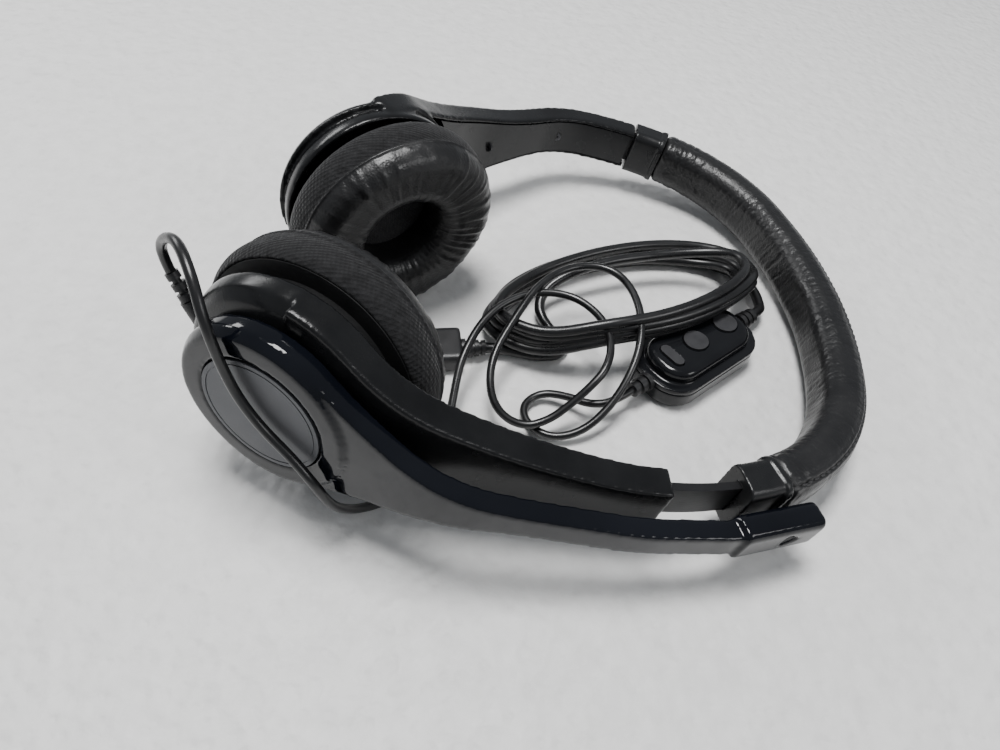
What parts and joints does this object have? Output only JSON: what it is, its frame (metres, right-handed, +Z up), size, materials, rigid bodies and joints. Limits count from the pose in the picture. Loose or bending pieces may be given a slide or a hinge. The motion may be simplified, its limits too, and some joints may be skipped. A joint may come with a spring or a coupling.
{
  "type": "office headset",
  "caption": "Wired office headset lying on its side: padded headband, sliding arms, tilting ear cups, swinging microphone boom, corded control and USB plug.",
  "frame": {"origin": "bottom centre of the headset's bounding box without its cord", "axes": "+X towards the crown of the headband, +Y towards the wearer's right cup, +Z up from the surface it lies on"},
  "size_m": [0.2275, 0.2038, 0.0806],
  "materials": {
    "core_plastic": "satin",
    "spring_steel": "brushed",
    "foam": "open-cell foam",
    "leatherette": "fine grain",
    "cushion_cover": "woven mesh and leatherette",
    "collar_plastic": "semi-gloss",
    "strip_steel": "satin black",
    "satin_plastic": "satin",
    "screw_steel": "plain",
    "gloss_plastic": "glossy",
    "badge_grey": "matte",
    "black_mesh": "knit",
    "magnet": "plated",
    "diaphragm": "film",
    "circuit_board": "solder mask",
    "cord_rubber": "semi-gloss",
    "plug_metal": "nickel",
    "tongue_white": "plain",
    "plug_rubber": "matte",
    "control_gloss": "semi-gloss",
    "button_rubber": "matte",
    "capsule_metal": "plain",
    "inner_plastic": "satin"
  },
  "bodies": {
    "left_arm": {"left_arm_outer_shell": "satin_plastic", "left_arm_inner_cover": "satin_plastic", "left_arm_screws": "screw_steel", "left_slider_strip": "strip_steel", "left_badge_disc": "badge_grey", "boom_friction_washer": "button_rubber", "boom_retaining_clip": "screw_steel", "cable_hank": "cord_rubber", "control_board": "circuit_board", "control_lower_shell": "control_gloss", "control_relief_in": "cord_rubber", "control_relief_out": "cord_rubber", "control_screws": "screw_steel", "control_upper_shell": "control_gloss", "cord_lead": "cord_rubber", "cord_lead_loops": "cord_rubber", "cord_strain_relief": "cord_rubber", "usb_plug_body": "plug_rubber", "usb_relief": "cord_rubber", "usb_shell": "plug_metal", "usb_tongue": "tongue_white"},
    "boom": {"mic_boom": "gloss_plastic", "mic_boom_cover": "gloss_plastic", "mic_capsule": "capsule_metal", "mic_port_mesh": "black_mesh"},
    "headband": {"headband_core": "core_plastic", "headband_spring": "spring_steel", "headband_foam": "foam", "headband_cover": "leatherette", "left_collar": "collar_plastic", "right_collar": "collar_plastic"},
    "right_arm": {"right_arm_outer_shell": "satin_plastic", "right_arm_inner_cover": "satin_plastic", "right_arm_screws": "screw_steel", "right_slider_strip": "strip_steel"},
    "left_gimbal": {"left_pivot_ring": "inner_plastic", "left_pivot_pins": "screw_steel"},
    "left_cup": {"left_cup_housing": "inner_plastic", "left_baffle": "inner_plastic", "left_driver_frame": "inner_plastic", "left_driver_magnet": "magnet", "left_driver_diaphragm": "diaphragm", "left_speaker_mesh": "black_mesh", "left_cushion_ring": "inner_plastic", "left_cushion_foam": "foam", "left_cushion_cover": "cushion_cover"},
    "right_gimbal": {"right_pivot_ring": "inner_plastic", "right_pivot_pins": "screw_steel"},
    "right_cup": {"right_cup_housing": "inner_plastic", "right_baffle": "inner_plastic", "right_driver_frame": "inner_plastic", "right_driver_magnet": "magnet", "right_driver_diaphragm": "diaphragm", "right_speaker_mesh": "black_mesh", "right_cushion_ring": "inner_plastic", "right_cushion_foam": "foam", "right_cushion_cover": "cushion_cover"},
    "volume_up": {"volume_up_button": "button_rubber"},
    "volume_down": {"volume_down_button": "button_rubber"},
    "mute": {"mute_button": "button_rubber"}
  },
  "joints": [
    {"name": "left_slider", "type": "hinge", "parent": "left_arm", "child": "headband", "pos_m": [0.01848, 0.03392, 0.02406], "axis": [0.1544, 0, 0.988], "range_deg": [-6.3, 1.43]},
    {"name": "right_slider", "type": "hinge", "parent": "headband", "child": "right_arm", "pos_m": [0.01848, -0.02292, 0.02406], "axis": [0.1544, 0, 0.988], "range_deg": [0, 6.8]},
    {"name": "boom_swing", "type": "hinge", "parent": "left_arm", "child": "boom", "pos_m": [-0.08699, -0.0683, 0.04054], "axis": [-0.4895, -0.8686, 0.0765], "range_deg": [0, 95]},
    {"name": "left_cup_nod", "type": "hinge", "parent": "left_arm", "child": "left_gimbal", "pos_m": [-0.08221, -0.05983, 0.03979], "axis": [0.8582, -0.4955, -0.1341], "range_deg": [-2, 5]},
    {"name": "left_cup_turn", "type": "hinge", "parent": "left_gimbal", "child": "left_cup", "pos_m": [-0.08221, -0.05983, 0.03979], "axis": [-0.1714, -0.0303, -0.9847], "range_deg": [-4, 3]},
    {"name": "right_cup_nod", "type": "hinge", "parent": "right_arm", "child": "right_gimbal", "pos_m": [-0.06536, 0.02961, 0.03716], "axis": [0.8803, 0.454, -0.1375], "range_deg": [-5, 2]},
    {"name": "right_cup_turn", "type": "hinge", "parent": "right_gimbal", "child": "right_cup", "pos_m": [-0.06536, 0.02961, 0.03716], "axis": [-0.1699, 0.0311, -0.985], "range_deg": [-0.8, 5]},
    {"name": "volume_up_press", "type": "slide", "parent": "left_arm", "child": "volume_up", "axis": [0, 0, -1], "range_m": [0, 0.0005], "stiffness_N_per_m": 800, "springref_m": -0.0005},
    {"name": "volume_down_press", "type": "slide", "parent": "left_arm", "child": "volume_down", "axis": [0, 0, -1], "range_m": [0, 0.0005], "stiffness_N_per_m": 800, "springref_m": -0.0005},
    {"name": "mute_press", "type": "slide", "parent": "left_arm", "child": "mute", "axis": [0, 0, -1], "range_m": [0, 0.0005], "stiffness_N_per_m": 800, "springref_m": -0.0005}
  ]
}
